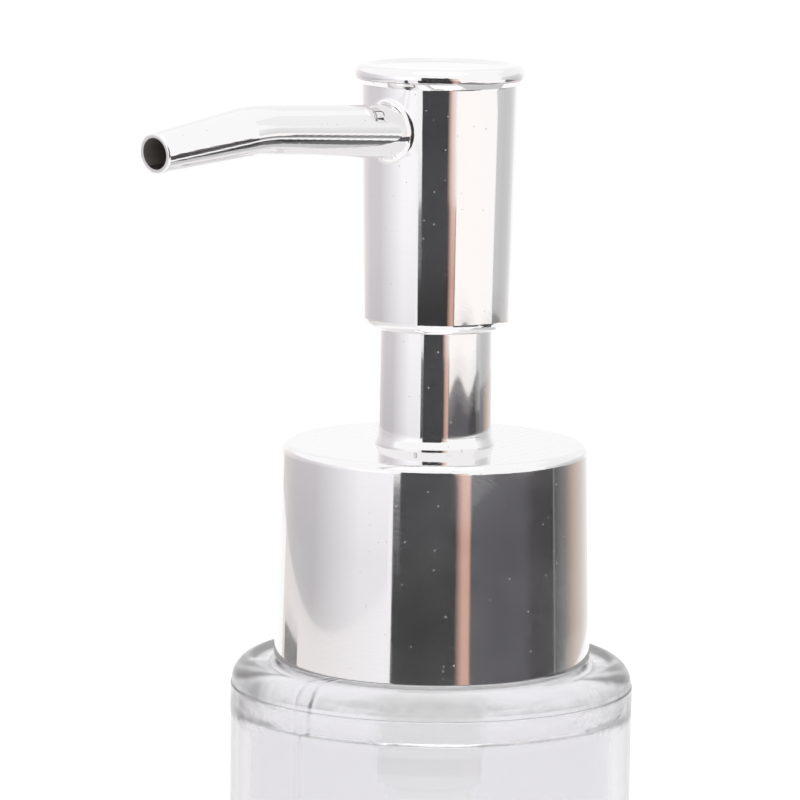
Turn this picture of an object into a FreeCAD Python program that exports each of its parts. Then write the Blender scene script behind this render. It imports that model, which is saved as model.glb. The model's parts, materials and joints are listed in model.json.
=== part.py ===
import FreeCAD, Part

import math
import os

# A bathroom soap pump dispenser: a thick clear bottle in two bonded pieces, a chromed closure
# with a chromed neck sleeve, and a chromed pump head whose bent spout is moulded with it.
# Millimetres. Z is the axis of the bottle and the pump, z = 0 is the base that it stands on,
# and the spout points along -Y.

V = FreeCAD.Vector

# Bottle
BOTTLE_D = 60.0
BOTTLE_HEIGHT = 108.0
BOTTLE_WALL = 3.0
BOTTLE_FLOOR = 4.5
BASE_CORNER = 2.0
INNER_CORNER = 2.5
SEAM_EDGE = 0.2
SHOULDER_DROP = 3.7
SHOULDER_CORNER = 3.4
SHOULDER_INSET = 0.15
SPIGOT_DEPTH = 4.0
SPIGOT_WALL = 2.6
BOND_GAP = 0.05

# Neck of the bottle, with its screw thread of six turns to the inch
NECK_D = 25.4
NECK_WALL = 1.9
NECK_HEIGHT = 18.0
NECK_FILLET = 0.5
NECK_LIP = 0.4
THREAD_PITCH = 25.4 / 6
THREAD_TURNS = 1.5
THREAD_DEPTH = 1.05
THREAD_ROOT = 2.2
THREAD_CREST = 1.2
THREAD_CLEARANCE = 0.25
THREAD_FROM_LIP = 9.5
THREAD_BURY = 0.2

# Closure: the chromed shroud outside and the white threaded liner inside
SHROUD_D = 47.2
SHROUD_HEIGHT = 32.2
SHROUD_DRAFT = 0.84
SHROUD_WALL = 1.5
SHROUD_CORNER = 1.3
SHROUD_LIFT = 0.3
SHROUD_EDGE = 0.25
LINER_WALL = 2.2
LINER_WEB = 1.8
LINER_DISC = 1.6
LINER_LIFT = 0.7
RIB_COUNT = 8
RIB_THICKNESS = 1.4
RIB_START = 4.0

# Neck sleeve
SLEEVE_D = 16.6
SLEEVE_WALL = 0.8
SLEEVE_FOOT_STEP = 0.62
SLEEVE_FOOT_HEIGHT = 0.7
SLEEVE_FOOT_EDGE = 0.3
SLEEVE_FLARE_HEIGHT = 2.5
SLEEVE_DRAFT = 0.12
SLEEVE_FLARE_RADIUS = 3.5
SLEEVE_SPIGOT_STEP = 0.35
SLEEVE_INSIDE_HEAD = 4.0

# Pump housing
GASKET_THICKNESS = 1.2
FLANGE_THICKNESS = 1.5
BARREL_D = 15.5
BARREL_WALL = 1.25
BARREL_LENGTH = 37.7
CHAMBER_D = 12.6
CHAMBER_WALL = 1.3
CHAMBER_LENGTH = 37.0
LEAD_IN = 1.5
VENT_D = 1.2
VENT_DROP = 5.0
SEAT_DEPTH = 2.6
THROAT_D = 3.6
THROAT_LENGTH = 1.7
SOCKET_LENGTH = 9.0
SOCKET_WALL = 1.25
DIP_TUBE_D = 6.0
DIP_TUBE_WALL = 0.9
DIP_TUBE_REACH = 3.0
DIP_TUBE_BEVEL = 35

# Inlet valve and spring
BALL_D = 4.8
BALL_LIFT = 1.5
CAGE_CLEARANCE = 0.6
CAGE_BARS = 4
CAGE_BAR = 1.0
CAGE_BAR_HEIGHT = 0.8
SPRING_D = 7.6
SPRING_WIRE = 0.8
SPRING_TURNS = 9

# Piston, rod and stem
STROKE = 16.0
PISTON_HEIGHT = 5.2
PISTON_LIP = 1.0
PISTON_WAIST = 0.55
PISTON_SLIP = 1.2
PISTON_BELOW_LEAD = 1.0
ROD_D = 4.0
ROD_BORE_D = 2.2
ROD_PORT_D = 1.4
ROD_FLANGE = 2.1
ROD_FLANGE_GAP = 0.8
ROD_PIN_LENGTH = 4.0
ROD_IN_STEM = 11.0
FLOW_GAP = 0.6
STEM_D = 7.0
STEM_WALL = 1.1
STEM_NOSE = 2.4
STEM_NOSE_STEP = 0.2
STEM_PUSHER = 1.7
STEM_PUSHER_GAP = 0.4
STEM_COLLAR = 2.0
STEM_COLLAR_GAP = 0.9

# Chaplet: the ring that closes the housing and guides the stem
CHAPLET_FLANGE = 1.5
CHAPLET_SPIGOT = 10.7
CHAPLET_GUIDE = 3.2
CHAPLET_RELIEF = 0.7
SEAL_THICKNESS = 1.5

# Head
HEAD_LIFT = 17.4
HEAD_HEIGHT = 38.95
HEAD_WALL = 1.62
HEAD_DRAFT = 0.7
HEAD_CORNER = 1.55
FLARE_OUT = 0.35
FLARE_HEIGHT = 0.45
FLARE_RADIUS = 1.0
RIM_OUT = 1.05
RIM_HEIGHT = 2.25
RIM_UNDER_RADIUS = 0.75
RIM_TOP_RADIUS = 1.05
DISH_LAND = 1.9
DISH_STEP = 0.35
DISH_SLOPE = 1.1
DISH_DEPTH = 0.6
CAP_PLUG_DEPTH = 2.8
CAP_PLUG_WALL = 1.3
CORE_BLOCK = 8.2
CORE_HUB_D = 12.4
CORE_RIBS = 6
CORE_RIB_THICKNESS = 1.2
CORE_UNDER_CAP = 0.6
STEM_SOCKET = 6.4

# Spout
SPOUT_BELOW_TOP = 9.25
SPOUT_RISE = 3.6
SPOUT_FALL = 5.8
SPOUT_BEND_REACH = 39.7
SPOUT_TIP_REACH = 59.3
SPOUT_BEND_RADIUS = 30.0
SPOUT_ROOT_D = 8.0
SPOUT_BEND_D = 7.4
SPOUT_TIP_D = 5.85
SPOUT_BORE_D = 4.44
SPOUT_EDGE = 0.35
SPOUT_FILLET = 1.0
NOZZLE_LINER_WALL = 0.6
NOZZLE_LINER_START = 3.5
NOZZLE_LINER_RECESS = 6.0

# Clearances
RUNNING = 0.08
SLIDING = 0.05
FREE = 0.3
TOUCH = 0.1

# Radii that follow from the sizes above
bottle_r = BOTTLE_D / 2
bottle_bore = bottle_r - BOTTLE_WALL
neck_r = NECK_D / 2
neck_bore = neck_r - NECK_WALL
thread_crest_r = neck_r + THREAD_DEPTH
liner_bore = thread_crest_r + THREAD_CLEARANCE
liner_r = liner_bore + LINER_WALL
shroud_r = SHROUD_D / 2
sleeve_r = SLEEVE_D / 2
sleeve_bore = sleeve_r - SLEEVE_WALL
sleeve_spigot_r = sleeve_r - SLEEVE_SPIGOT_STEP
sleeve_spigot_bore = sleeve_spigot_r - SLEEVE_WALL
sleeve_foot_r = sleeve_r + SLEEVE_FOOT_STEP
barrel_r = BARREL_D / 2
barrel_bore = barrel_r - BARREL_WALL
chamber_r = CHAMBER_D / 2
chamber_bore = chamber_r - CHAMBER_WALL
ball_r = BALL_D / 2
rod_r = ROD_D / 2
stem_r = STEM_D / 2
stem_bore = stem_r - STEM_WALL
stem_nose_r = stem_r - STEM_NOSE_STEP
head_bore = sleeve_foot_r + FREE
head_r = head_bore + HEAD_WALL
head_top_r = head_r + HEAD_DRAFT
rim_r = head_top_r + RIM_OUT

# Heights that follow from the sizes above
seam_z = BOTTLE_HEIGHT - SHOULDER_DROP
neck_top = BOTTLE_HEIGHT + NECK_HEIGHT
flange_z = neck_top + GASKET_THICKNESS
flange_top = flange_z + FLANGE_THICKNESS
chaplet_top = flange_top + CHAPLET_FLANGE
web_z = chaplet_top + TOUCH
web_top = web_z + LINER_WEB
shroud_z = BOTTLE_HEIGHT + SHROUD_LIFT
shroud_top = shroud_z + SHROUD_HEIGHT
shroud_ceiling = shroud_top - SHROUD_WALL
step_z = flange_z - BARREL_LENGTH
chamber_floor = step_z - CHAMBER_LENGTH
throat_top = chamber_floor - SEAT_DEPTH
throat_z = throat_top - THROAT_LENGTH
lead_z = step_z + LEAD_IN
ball_z = throat_top + math.sqrt(ball_r ** 2 - (THROAT_D / 2) ** 2) + TOUCH
cage_z = chamber_floor + FREE
cage_top = ball_z + ball_r + BALL_LIFT + TOUCH + CAGE_BAR_HEIGHT
piston_top = lead_z - PISTON_BELOW_LEAD
piston_z = piston_top - PISTON_HEIGHT
rod_flange_top = piston_z - TOUCH
rod_flange_z = rod_flange_top - ROD_FLANGE
pusher_z = piston_top + PISTON_SLIP + TOUCH
stem_z = piston_top - STEM_NOSE
collar_top = flange_top - CHAPLET_SPIGOT - TOUCH
head_z = shroud_top + HEAD_LIFT
head_top = head_z + HEAD_HEIGHT
rim_z = head_top - RIM_HEIGHT
sleeve_top = head_z + SLEEVE_INSIDE_HEAD
core_top = rim_z - CAP_PLUG_DEPTH - CORE_UNDER_CAP
block_z = core_top - CORE_BLOCK
stem_top = block_z + TOUCH
core_z = stem_top - STEM_SOCKET
chaplet_tower_top = core_z - STROKE - FREE


def outline(corners):
    """Closed wire in the XZ plane. A corner is (r, z), or (r, z, radius) where it is rounded."""
    entries = []
    for i, corner in enumerate(corners):
        here = V(corner[0], 0, corner[1])
        if len(corner) == 2:
            entries.append((here, None, here))
            continue
        before = corners[i - 1]
        after = corners[(i + 1) % len(corners)]
        back = (V(before[0], 0, before[1]) - here).normalize()
        ahead = (V(after[0], 0, after[1]) - here).normalize()
        half = back.getAngle(ahead) / 2
        cut = corner[2] / math.tan(half)
        inward = (back + ahead).normalize()
        middle = here + inward * (corner[2] / math.sin(half) - corner[2])
        entries.append((here + back * cut, middle, here + ahead * cut))
    edges = []
    for i, (start, middle, end) in enumerate(entries):
        last = entries[i - 1][2]
        if (start - last).Length > 1e-6:
            edges.append(Part.LineSegment(last, start).toShape())
        if middle is not None:
            edges.append(Part.Arc(start, middle, end).toShape())
    return Part.Wire(edges)


def turned(corners):
    """Solid turned about Z from an outline."""
    solid = Part.Face(outline(corners)).revolve(V(0, 0, 0), V(0, 0, 1), 360)
    if solid.Volume < 0:
        solid.reverse()
    return solid


def ring(outer, bore, bottom, top):
    return turned([(bore, bottom), (outer, bottom), (outer, top), (bore, top)])


def along(shape, start, direction):
    """The shape, made about Z from the origin, laid along a direction from a start point."""
    turn = FreeCAD.Rotation(V(0, 0, 1), direction)
    shape.Placement = FreeCAD.Placement(start, turn)
    return shape


def spokes(count, inner, outer, thickness, bottom, top):
    """Flat ribs standing round Z, evenly spaced."""
    made = []
    for i in range(count):
        rib = Part.makeBox(outer - inner, thickness, top - bottom, V(inner, -thickness / 2, bottom))
        rib.rotate(V(0, 0, 0), V(0, 0, 1), 360 * i / count)
        made.append(rib)
    return made


def thread(wall_r, crest_r, start_z):
    """Helical ridge that stands on a wall and is buried a little in it."""
    side = math.copysign(1, crest_r - wall_r)
    root_r = wall_r - side * THREAD_BURY
    rise = THREAD_PITCH * THREAD_TURNS
    path = Part.makeHelix(THREAD_PITCH, rise, root_r)
    path.translate(V(0, 0, start_z))
    section = Part.makePolygon([
        V(root_r, 0, start_z - THREAD_ROOT / 2),
        V(crest_r, 0, start_z - THREAD_CREST / 2),
        V(crest_r, 0, start_z + THREAD_CREST / 2),
        V(root_r, 0, start_z + THREAD_ROOT / 2),
        V(root_r, 0, start_z - THREAD_ROOT / 2),
    ])
    return Part.Wire(path).makePipeShell([section], True, True)


def bottle_body():
    return turned([
        (0, 0),
        (bottle_r, 0, BASE_CORNER),
        (bottle_r, seam_z, SEAM_EDGE),
        (bottle_bore, seam_z),
        (bottle_bore, BOTTLE_FLOOR, INNER_CORNER),
        (0, BOTTLE_FLOOR),
    ])


def bottle_shoulder():
    outer = bottle_r - SHOULDER_INSET
    spigot_r = bottle_bore - BOND_GAP
    spigot_bore = spigot_r - SPIGOT_WALL
    ceiling = BOTTLE_HEIGHT - BOTTLE_WALL
    shell = turned([
        (outer, seam_z, SEAM_EDGE),
        (outer, BOTTLE_HEIGHT, SHOULDER_CORNER),
        (neck_r, BOTTLE_HEIGHT, NECK_FILLET),
        (neck_r, neck_top, NECK_LIP),
        (neck_bore, neck_top, NECK_LIP),
        (neck_bore, ceiling, NECK_FILLET),
        (spigot_bore, ceiling, INNER_CORNER),
        (spigot_bore, seam_z - SPIGOT_DEPTH, SEAM_EDGE),
        (spigot_r, seam_z - SPIGOT_DEPTH, SEAM_EDGE),
        (spigot_r, seam_z),
    ])
    return shell.fuse(thread(neck_r, thread_crest_r, neck_top - THREAD_FROM_LIP))


def closure_shroud():
    top_r = shroud_r - SHROUD_DRAFT
    hole = sleeve_spigot_r + SLIDING
    return turned([
        (shroud_r, shroud_z, SHROUD_EDGE),
        (top_r, shroud_top, SHROUD_CORNER),
        (hole, shroud_top),
        (hole, shroud_ceiling),
        (top_r - SHROUD_WALL, shroud_ceiling, SHROUD_WALL / 2),
        (shroud_r - SHROUD_WALL, shroud_z, SHROUD_EDGE),
    ])


def closure_liner():
    bottom = BOTTLE_HEIGHT + LINER_LIFT
    top = shroud_ceiling - SLIDING
    inside_low = shroud_r - SHROUD_WALL - TOUCH
    inside_high = inside_low - SHROUD_DRAFT
    disc_r = inside_high - SHROUD_WALL / 2
    hole = sleeve_spigot_bore
    tube = turned([
        (liner_bore, bottom, SHROUD_EDGE),
        (liner_r, bottom, SHROUD_EDGE),
        (liner_r, top - LINER_DISC),
        (disc_r, top - LINER_DISC),
        (disc_r, top),
        (liner_bore, top),
        (liner_bore, web_top),
        (hole, web_top),
        (hole, web_z),
        (liner_bore, web_z),
    ])
    ribs = spokes(RIB_COUNT, liner_r - THREAD_BURY, shroud_r, RIB_THICKNESS,
                  shroud_z + RIB_START, top - LINER_DISC + THREAD_BURY)
    inside = Part.makeCone(inside_low, inside_high, SHROUD_HEIGHT, V(0, 0, shroud_z))
    ribs = [rib.common(inside) for rib in ribs]
    ridge = thread(liner_bore, neck_r + THREAD_CLEARANCE,
                   neck_top - THREAD_FROM_LIP - THREAD_PITCH / 2)
    return tube.fuse(ribs + [ridge])


def neck_sleeve():
    flare_z = shroud_top + SLEEVE_FLARE_HEIGHT
    return turned([
        (sleeve_spigot_bore, web_top + TOUCH),
        (sleeve_spigot_r, web_top + TOUCH),
        (sleeve_spigot_r, shroud_top),
        (sleeve_foot_r, shroud_top),
        (sleeve_foot_r, shroud_top + SLEEVE_FOOT_HEIGHT, SLEEVE_FOOT_EDGE),
        (sleeve_r + SLEEVE_DRAFT, flare_z, SLEEVE_FLARE_RADIUS),
        (sleeve_r, sleeve_top, SLEEVE_WALL / 2),
        (sleeve_bore, sleeve_top),
        (sleeve_bore, shroud_top),
        (sleeve_spigot_bore, shroud_ceiling),
    ])


def neck_gasket():
    return ring(neck_r - TOUCH, barrel_r + SLIDING, neck_top, flange_z)


def pump_housing():
    socket_bore = DIP_TUBE_D / 2 + SLIDING
    socket_r = socket_bore + SOCKET_WALL
    throat_r = THROAT_D / 2
    shell = turned([
        (barrel_bore, flange_top),
        (neck_r - FREE, flange_top),
        (neck_r - FREE, flange_z),
        (barrel_r, flange_z),
        (barrel_r, step_z, SEAM_EDGE),
        (chamber_r, step_z, SEAM_EDGE),
        (chamber_r, chamber_floor - FREE, SEAM_EDGE),
        (socket_r, throat_top - FREE, SEAM_EDGE),
        (socket_r, throat_z - SOCKET_LENGTH),
        (socket_bore, throat_z - SOCKET_LENGTH),
        (socket_bore, throat_z),
        (throat_r, throat_z),
        (throat_r, throat_top),
        (chamber_bore, chamber_floor),
        (chamber_bore, lead_z),
        (barrel_bore, lead_z + barrel_bore - chamber_bore),
    ])
    vent_z = flange_z - VENT_DROP
    vents = Part.makeCylinder(VENT_D / 2, BARREL_D, V(-barrel_r, 0, vent_z), V(1, 0, 0))
    return shell.cut(vents)


def dip_tube():
    outer = DIP_TUBE_D / 2
    bottom = BOTTLE_FLOOR + DIP_TUBE_REACH
    tube = ring(outer, outer - DIP_TUBE_WALL, bottom, throat_z - TOUCH)
    bevel = Part.makeBox(4 * DIP_TUBE_D, 4 * DIP_TUBE_D, 2 * DIP_TUBE_D)
    bevel.translate(V(-2 * DIP_TUBE_D, -2 * DIP_TUBE_D, -2 * DIP_TUBE_D))
    bevel.rotate(V(0, 0, 0), V(0, 1, 0), DIP_TUBE_BEVEL)
    bevel.translate(V(0, 0, bottom + outer * math.tan(math.radians(DIP_TUBE_BEVEL))))
    return tube.cut(bevel)


def inlet_ball():
    return Part.makeSphere(ball_r, V(0, 0, ball_z))


def ball_retainer():
    outer = chamber_bore - SLIDING
    inner = ball_r + CAGE_CLEARANCE
    bars = spokes(CAGE_BARS, 0, inner + THREAD_BURY, CAGE_BAR, cage_top - CAGE_BAR_HEIGHT, cage_top)
    return ring(outer, inner, cage_z, cage_top).fuse(bars)


def return_spring():
    wire_r = SPRING_WIRE / 2
    coil_r = SPRING_D / 2 - wire_r
    bottom = cage_top + wire_r + TOUCH
    length = rod_flange_z - wire_r - TOUCH - bottom
    path = Part.makeHelix(length / SPRING_TURNS, length, coil_r)
    path.translate(V(0, 0, bottom))
    section = Part.Wire(Part.makeCircle(wire_r, V(coil_r, 0, bottom), V(0, 1, 0)))
    return Part.Wire(path).makePipeShell([section], True, True)


def piston():
    lip = chamber_bore - SLIDING
    waist = lip - PISTON_WAIST
    nose_bore = stem_nose_r + SLIDING
    flow_bore = rod_r + FLOW_GAP
    ledge = stem_z - PISTON_SLIP - FREE
    return turned([
        (nose_bore, piston_top),
        (lip, piston_top),
        (lip, piston_top - PISTON_LIP),
        (waist, piston_top - PISTON_LIP - PISTON_WAIST),
        (waist, piston_z + PISTON_LIP + PISTON_WAIST),
        (lip, piston_z + PISTON_LIP),
        (lip, piston_z),
        (flow_bore, piston_z),
        (flow_bore, ledge),
        (nose_bore, ledge),
    ])


def piston_rod():
    top = stem_z + ROD_IN_STEM
    bore = ROD_BORE_D / 2
    flange_r = chamber_bore - ROD_FLANGE_GAP
    body = turned([
        (0, rod_flange_z - ROD_PIN_LENGTH),
        (rod_r, rod_flange_z - ROD_PIN_LENGTH, FREE),
        (rod_r, rod_flange_z),
        (flange_r, rod_flange_z, FREE),
        (flange_r, rod_flange_top, FREE),
        (rod_r, rod_flange_top),
        (rod_r, top),
        (bore, top),
        (bore, rod_flange_top),
        (0, rod_flange_top),
    ])
    port_z = rod_flange_top + ROD_PORT_D
    for way in (V(1, 0, 0), V(0, 1, 0)):
        body = body.cut(Part.makeCylinder(ROD_PORT_D / 2, ROD_D, V(0, 0, port_z) - way * rod_r, way))
    return body


def stem():
    rod_fit = rod_r + SLIDING
    pusher_r = chamber_bore - STEM_PUSHER_GAP
    collar_r = barrel_bore - STEM_COLLAR_GAP
    return turned([
        (rod_fit, stem_z),
        (stem_nose_r, stem_z),
        (stem_nose_r, pusher_z),
        (pusher_r, pusher_z),
        (pusher_r, pusher_z + STEM_PUSHER),
        (stem_r, pusher_z + STEM_PUSHER),
        (stem_r, collar_top - STEM_COLLAR),
        (collar_r, collar_top - STEM_COLLAR),
        (collar_r, collar_top),
        (stem_r, collar_top),
        (stem_r, stem_top),
        (stem_bore, stem_top),
        (stem_bore, stem_z + ROD_IN_STEM + TOUCH),
        (rod_fit, stem_z + ROD_IN_STEM + TOUCH),
    ])


def chaplet():
    relief = stem_r + CHAPLET_RELIEF
    tower_r = sleeve_spigot_bore - FREE
    guide = stem_r + RUNNING
    return turned([
        (relief, flange_top - CHAPLET_SPIGOT),
        (barrel_bore - SLIDING, flange_top - CHAPLET_SPIGOT),
        (barrel_bore - SLIDING, flange_top),
        (neck_r - FREE, flange_top),
        (neck_r - FREE, chaplet_top),
        (tower_r, chaplet_top),
        (tower_r, chaplet_tower_top, FREE),
        (guide, chaplet_tower_top),
        (guide, chaplet_tower_top - CHAPLET_GUIDE),
        (relief, chaplet_tower_top - CHAPLET_GUIDE),
    ])


def stem_seal():
    top = chaplet_tower_top - CHAPLET_GUIDE
    return ring(stem_r + CHAPLET_RELIEF - SLIDING, stem_r + SLIDING, top - SEAL_THICKNESS, top)


def spout_line():
    """Middle of the spout: the points on the axis, at the bend and at the tip."""
    root_z = head_top - SPOUT_BELOW_TOP
    rise = math.tan(math.radians(SPOUT_RISE))
    fall = math.tan(math.radians(SPOUT_FALL))
    axis = V(0, 0, root_z - head_top_r * rise)
    bend = V(0, -SPOUT_BEND_REACH, root_z + (SPOUT_BEND_REACH - head_top_r) * rise)
    tip = V(0, -SPOUT_TIP_REACH, bend.z - (SPOUT_TIP_REACH - SPOUT_BEND_REACH) * fall)
    return axis, bend, tip


def spout_route(start, recess):
    """The two straight runs and the bend arc between them, from a reach out of the axis to a
    recess short of the tip."""
    axis, bend, tip = spout_line()
    outward = (bend - axis).normalize()
    onward = (tip - bend).normalize()
    turn = math.radians(SPOUT_RISE + SPOUT_FALL)
    cut = SPOUT_BEND_RADIUS * math.tan(turn / 2)
    bulge = SPOUT_BEND_RADIUS * (1 / math.cos(turn / 2) - 1)
    inward = (onward - outward).normalize()
    first = bend - outward * cut
    last = bend + onward * cut
    arc = Part.Arc(first, bend + inward * bulge, last).toShape()
    root = Part.LineSegment(axis + outward * start, first).toShape()
    end = Part.LineSegment(last, tip - onward * recess).toShape()
    return root, arc, end


def piped(edges, radius):
    """Round bar swept along edges that run on smoothly from one to the next."""
    start = edges[0].valueAt(edges[0].FirstParameter)
    heading = edges[0].tangentAt(edges[0].FirstParameter)
    section = Part.Wire(Part.makeCircle(radius, start, heading))
    return Part.Wire(edges).makePipeShell([section], True, False)


def spout():
    axis, bend, tip = spout_line()
    root, arc, end = spout_route(head_bore / 2, 0)
    bend_r = SPOUT_BEND_D / 2
    start = root.valueAt(root.FirstParameter)
    cone = Part.makeCone(SPOUT_ROOT_D / 2, bend_r, root.Length)
    first = along(cone, start, bend - axis)
    nose = turned([
        (0, 0),
        (bend_r, 0),
        (SPOUT_TIP_D / 2, end.Length, SPOUT_EDGE),
        (0, end.Length),
    ])
    last = along(nose, end.valueAt(end.FirstParameter), tip - bend)
    return first.fuse([piped([arc], bend_r), last])


def spout_junction(shape):
    """Edges where the spout meets the side of the head."""
    root_z = head_top - SPOUT_BELOW_TOP
    found = []
    for edge in shape.Edges:
        box = edge.BoundBox
        near = box.YMax < 0 and box.YMin > -head_top_r - SPOUT_FILLET
        level = abs(box.Center.z - root_z) < SPOUT_ROOT_D / 2
        narrow = box.XLength < SPOUT_ROOT_D + SPOUT_FILLET and box.ZLength > SPOUT_FILLET
        outside = math.hypot(edge.Vertexes[0].X, edge.Vertexes[0].Y) > head_r - SPOUT_FILLET
        if near and level and narrow and outside:
            found.append(edge)
    return found


def head_shell():
    flare_z = rim_z - FLARE_HEIGHT
    body = turned([
        (0, head_z),
        (head_r, head_z, HEAD_CORNER),
        (head_top_r, flare_z, FLARE_RADIUS),
        (head_top_r + FLARE_OUT, rim_z),
        (0, rim_z),
    ])
    whole = body.fuse(spout())
    whole = whole.makeFillet(SPOUT_FILLET, spout_junction(whole))
    whole = whole.cut(Part.makeCylinder(head_bore, HEAD_HEIGHT, V(0, 0, head_z)))
    bore = piped(spout_route(head_bore / 2, 0), SPOUT_BORE_D / 2)
    return whole.cut(bore)


def head_cap():
    plug_r = head_bore - SLIDING
    land_r = rim_r - DISH_LAND
    return turned([
        (0, rim_z),
        (plug_r - CAP_PLUG_WALL, rim_z),
        (plug_r - CAP_PLUG_WALL, rim_z - CAP_PLUG_DEPTH),
        (plug_r, rim_z - CAP_PLUG_DEPTH),
        (plug_r, rim_z),
        (rim_r, rim_z, RIM_UNDER_RADIUS),
        (rim_r, head_top, RIM_TOP_RADIUS),
        (land_r, head_top, DISH_STEP),
        (land_r - DISH_SLOPE, head_top - DISH_STEP, DISH_SLOPE),
        (0, head_top - DISH_DEPTH),
    ])


def actuator_core():
    outer = head_bore - SLIDING
    hub_r = CORE_HUB_D / 2
    socket = stem_r + SLIDING
    axis, bend, tip = spout_line()
    body = turned([
        (socket, core_z),
        (hub_r, core_z),
        (hub_r, block_z),
        (outer, block_z),
        (outer, core_top),
        (0, core_top),
        (0, axis.z + stem_bore),
        (stem_bore, axis.z),
        (stem_bore, block_z + 2 * TOUCH),
        (socket, block_z + 2 * TOUCH),
    ])
    rib_z = sleeve_top + STROKE + FREE
    ribs = spokes(CORE_RIBS, hub_r - THREAD_BURY, outer, CORE_RIB_THICKNESS, rib_z,
                  block_z + THREAD_BURY)
    channel_r = SPOUT_BORE_D / 2 - TOUCH
    channel = Part.makeCylinder(channel_r, 2 * outer, axis, bend - axis)
    return body.fuse(ribs).cut(channel)


def nozzle_liner():
    outer = SPOUT_BORE_D / 2 - TOUCH - SLIDING
    route = spout_route(NOZZLE_LINER_START, NOZZLE_LINER_RECESS)
    bar = piped(route, outer)
    return bar.cut(piped(route, outer - NOZZLE_LINER_WALL))


NODES = {
    "bottle_body": bottle_body,
    "bottle_shoulder": bottle_shoulder,
    "closure_shroud": closure_shroud,
    "closure_liner": closure_liner,
    "neck_sleeve": neck_sleeve,
    "neck_gasket": neck_gasket,
    "pump_housing": pump_housing,
    "dip_tube": dip_tube,
    "inlet_ball": inlet_ball,
    "ball_retainer": ball_retainer,
    "return_spring": return_spring,
    "piston": piston,
    "piston_rod": piston_rod,
    "stem": stem,
    "chaplet": chaplet,
    "stem_seal": stem_seal,
    "head_shell": head_shell,
    "head_cap": head_cap,
    "actuator_core": actuator_core,
    "nozzle_liner": nozzle_liner,
}

os.makedirs("parts", exist_ok=True)
for name, make in NODES.items():
    shape = make()
    shape.exportStep(f"parts/{name}.step")
    print(f"{name}: solids {len(shape.Solids)}, volume {shape.Volume:.1f}, valid {shape.isValid()}")
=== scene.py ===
# %% [markdown]
# # A soap pump dispenser
# The object is a thick clear bottle with a chromed closure, a chromed neck sleeve and a chromed
# pump head whose bent spout is part of it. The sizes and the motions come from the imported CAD
# frame. This lesson gives it its looks: turned pieces with clean reflections, plated plastic,
# clear acrylic, and the bright room that the plating mirrors.

# %% Load the frame
import json
import math

import bpy
from mathutils import Matrix, Vector


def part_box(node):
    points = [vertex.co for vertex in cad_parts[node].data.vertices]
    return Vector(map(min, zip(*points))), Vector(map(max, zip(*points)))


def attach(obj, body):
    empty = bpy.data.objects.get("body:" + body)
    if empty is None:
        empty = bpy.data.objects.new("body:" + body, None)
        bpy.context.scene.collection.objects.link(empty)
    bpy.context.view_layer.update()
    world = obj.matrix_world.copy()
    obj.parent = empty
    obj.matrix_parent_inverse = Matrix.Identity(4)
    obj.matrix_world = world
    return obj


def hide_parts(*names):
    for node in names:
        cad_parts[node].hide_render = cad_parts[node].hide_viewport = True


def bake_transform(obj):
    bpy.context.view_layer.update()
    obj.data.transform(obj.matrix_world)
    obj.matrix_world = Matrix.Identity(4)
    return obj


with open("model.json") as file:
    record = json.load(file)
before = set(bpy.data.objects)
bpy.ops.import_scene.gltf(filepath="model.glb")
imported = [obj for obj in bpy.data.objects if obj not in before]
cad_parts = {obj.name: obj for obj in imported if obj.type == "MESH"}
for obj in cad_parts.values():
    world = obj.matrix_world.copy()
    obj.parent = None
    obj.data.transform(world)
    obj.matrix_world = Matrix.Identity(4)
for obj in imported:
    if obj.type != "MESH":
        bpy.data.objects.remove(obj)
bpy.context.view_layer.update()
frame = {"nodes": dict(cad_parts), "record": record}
nodes = frame["nodes"]
slot_of = {part["node"]: part["material_slot"] for part in frame["record"]["subparts"]}
mm = 0.001
print(len(nodes), "CAD nodes")

# %% [markdown]
# ## A lathe
# Nearly every piece here is turned: its shape is one outline swept once round the axis. It could
# be made from a cylinder with loops scaled ring by ring, but an outline says more plainly what a
# maker would cut. The outline is extruded point by point from a single vertex and then spun.
# Mirror finishes show every wrong normal, so corners get real arcs, and the Weighted Normal
# modifier lets the long walls decide the shading of the points where an arc begins.

# %% Lathe helpers
ARC_STEP = math.radians(9)
SPIN_STEPS = 192


def nothing_selected():
    if bpy.context.object and bpy.context.object.mode != "OBJECT":
        bpy.ops.object.mode_set(mode="OBJECT")
    bpy.ops.object.select_all(action="DESELECT")


def rounded(corners):
    """Outline points in millimetres. A corner is (r, z), or (r, z, radius) where it is rounded."""
    points = []
    for i, corner in enumerate(corners):
        here = Vector(corner[:2])
        if len(corner) == 2:
            points.append(here)
            continue
        back = (Vector(corners[i - 1][:2]) - here).normalized()
        ahead = (Vector(corners[(i + 1) % len(corners)][:2]) - here).normalized()
        turn = math.pi - back.angle(ahead)
        reach = corner[2] * math.tan(turn / 2)
        middle = here + (back + ahead).normalized() * (corner[2] / math.cos(turn / 2))
        first = here + back * reach - middle
        steps = max(2, math.ceil(turn / ARC_STEP))
        way = 1 if back.x * ahead.y - back.y * ahead.x < 0 else -1
        for k in range(steps + 1):
            angle = way * turn * k / steps
            points.append(middle + Vector((
                first.x * math.cos(angle) - first.y * math.sin(angle),
                first.x * math.sin(angle) + first.y * math.cos(angle))))
    return points


def start_point(name, place):
    """A mesh object of one vertex, selected and in edit mode."""
    nothing_selected()
    bpy.ops.mesh.primitive_plane_add(size=mm, location=(0, 0, 0))
    piece = bpy.context.object
    piece.name = piece.data.name = name
    bpy.ops.object.mode_set(mode="EDIT")
    bpy.ops.mesh.select_all(action="SELECT")
    bpy.ops.mesh.merge(type="CENTER")
    bpy.ops.transform.translate(value=place)
    return piece


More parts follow.
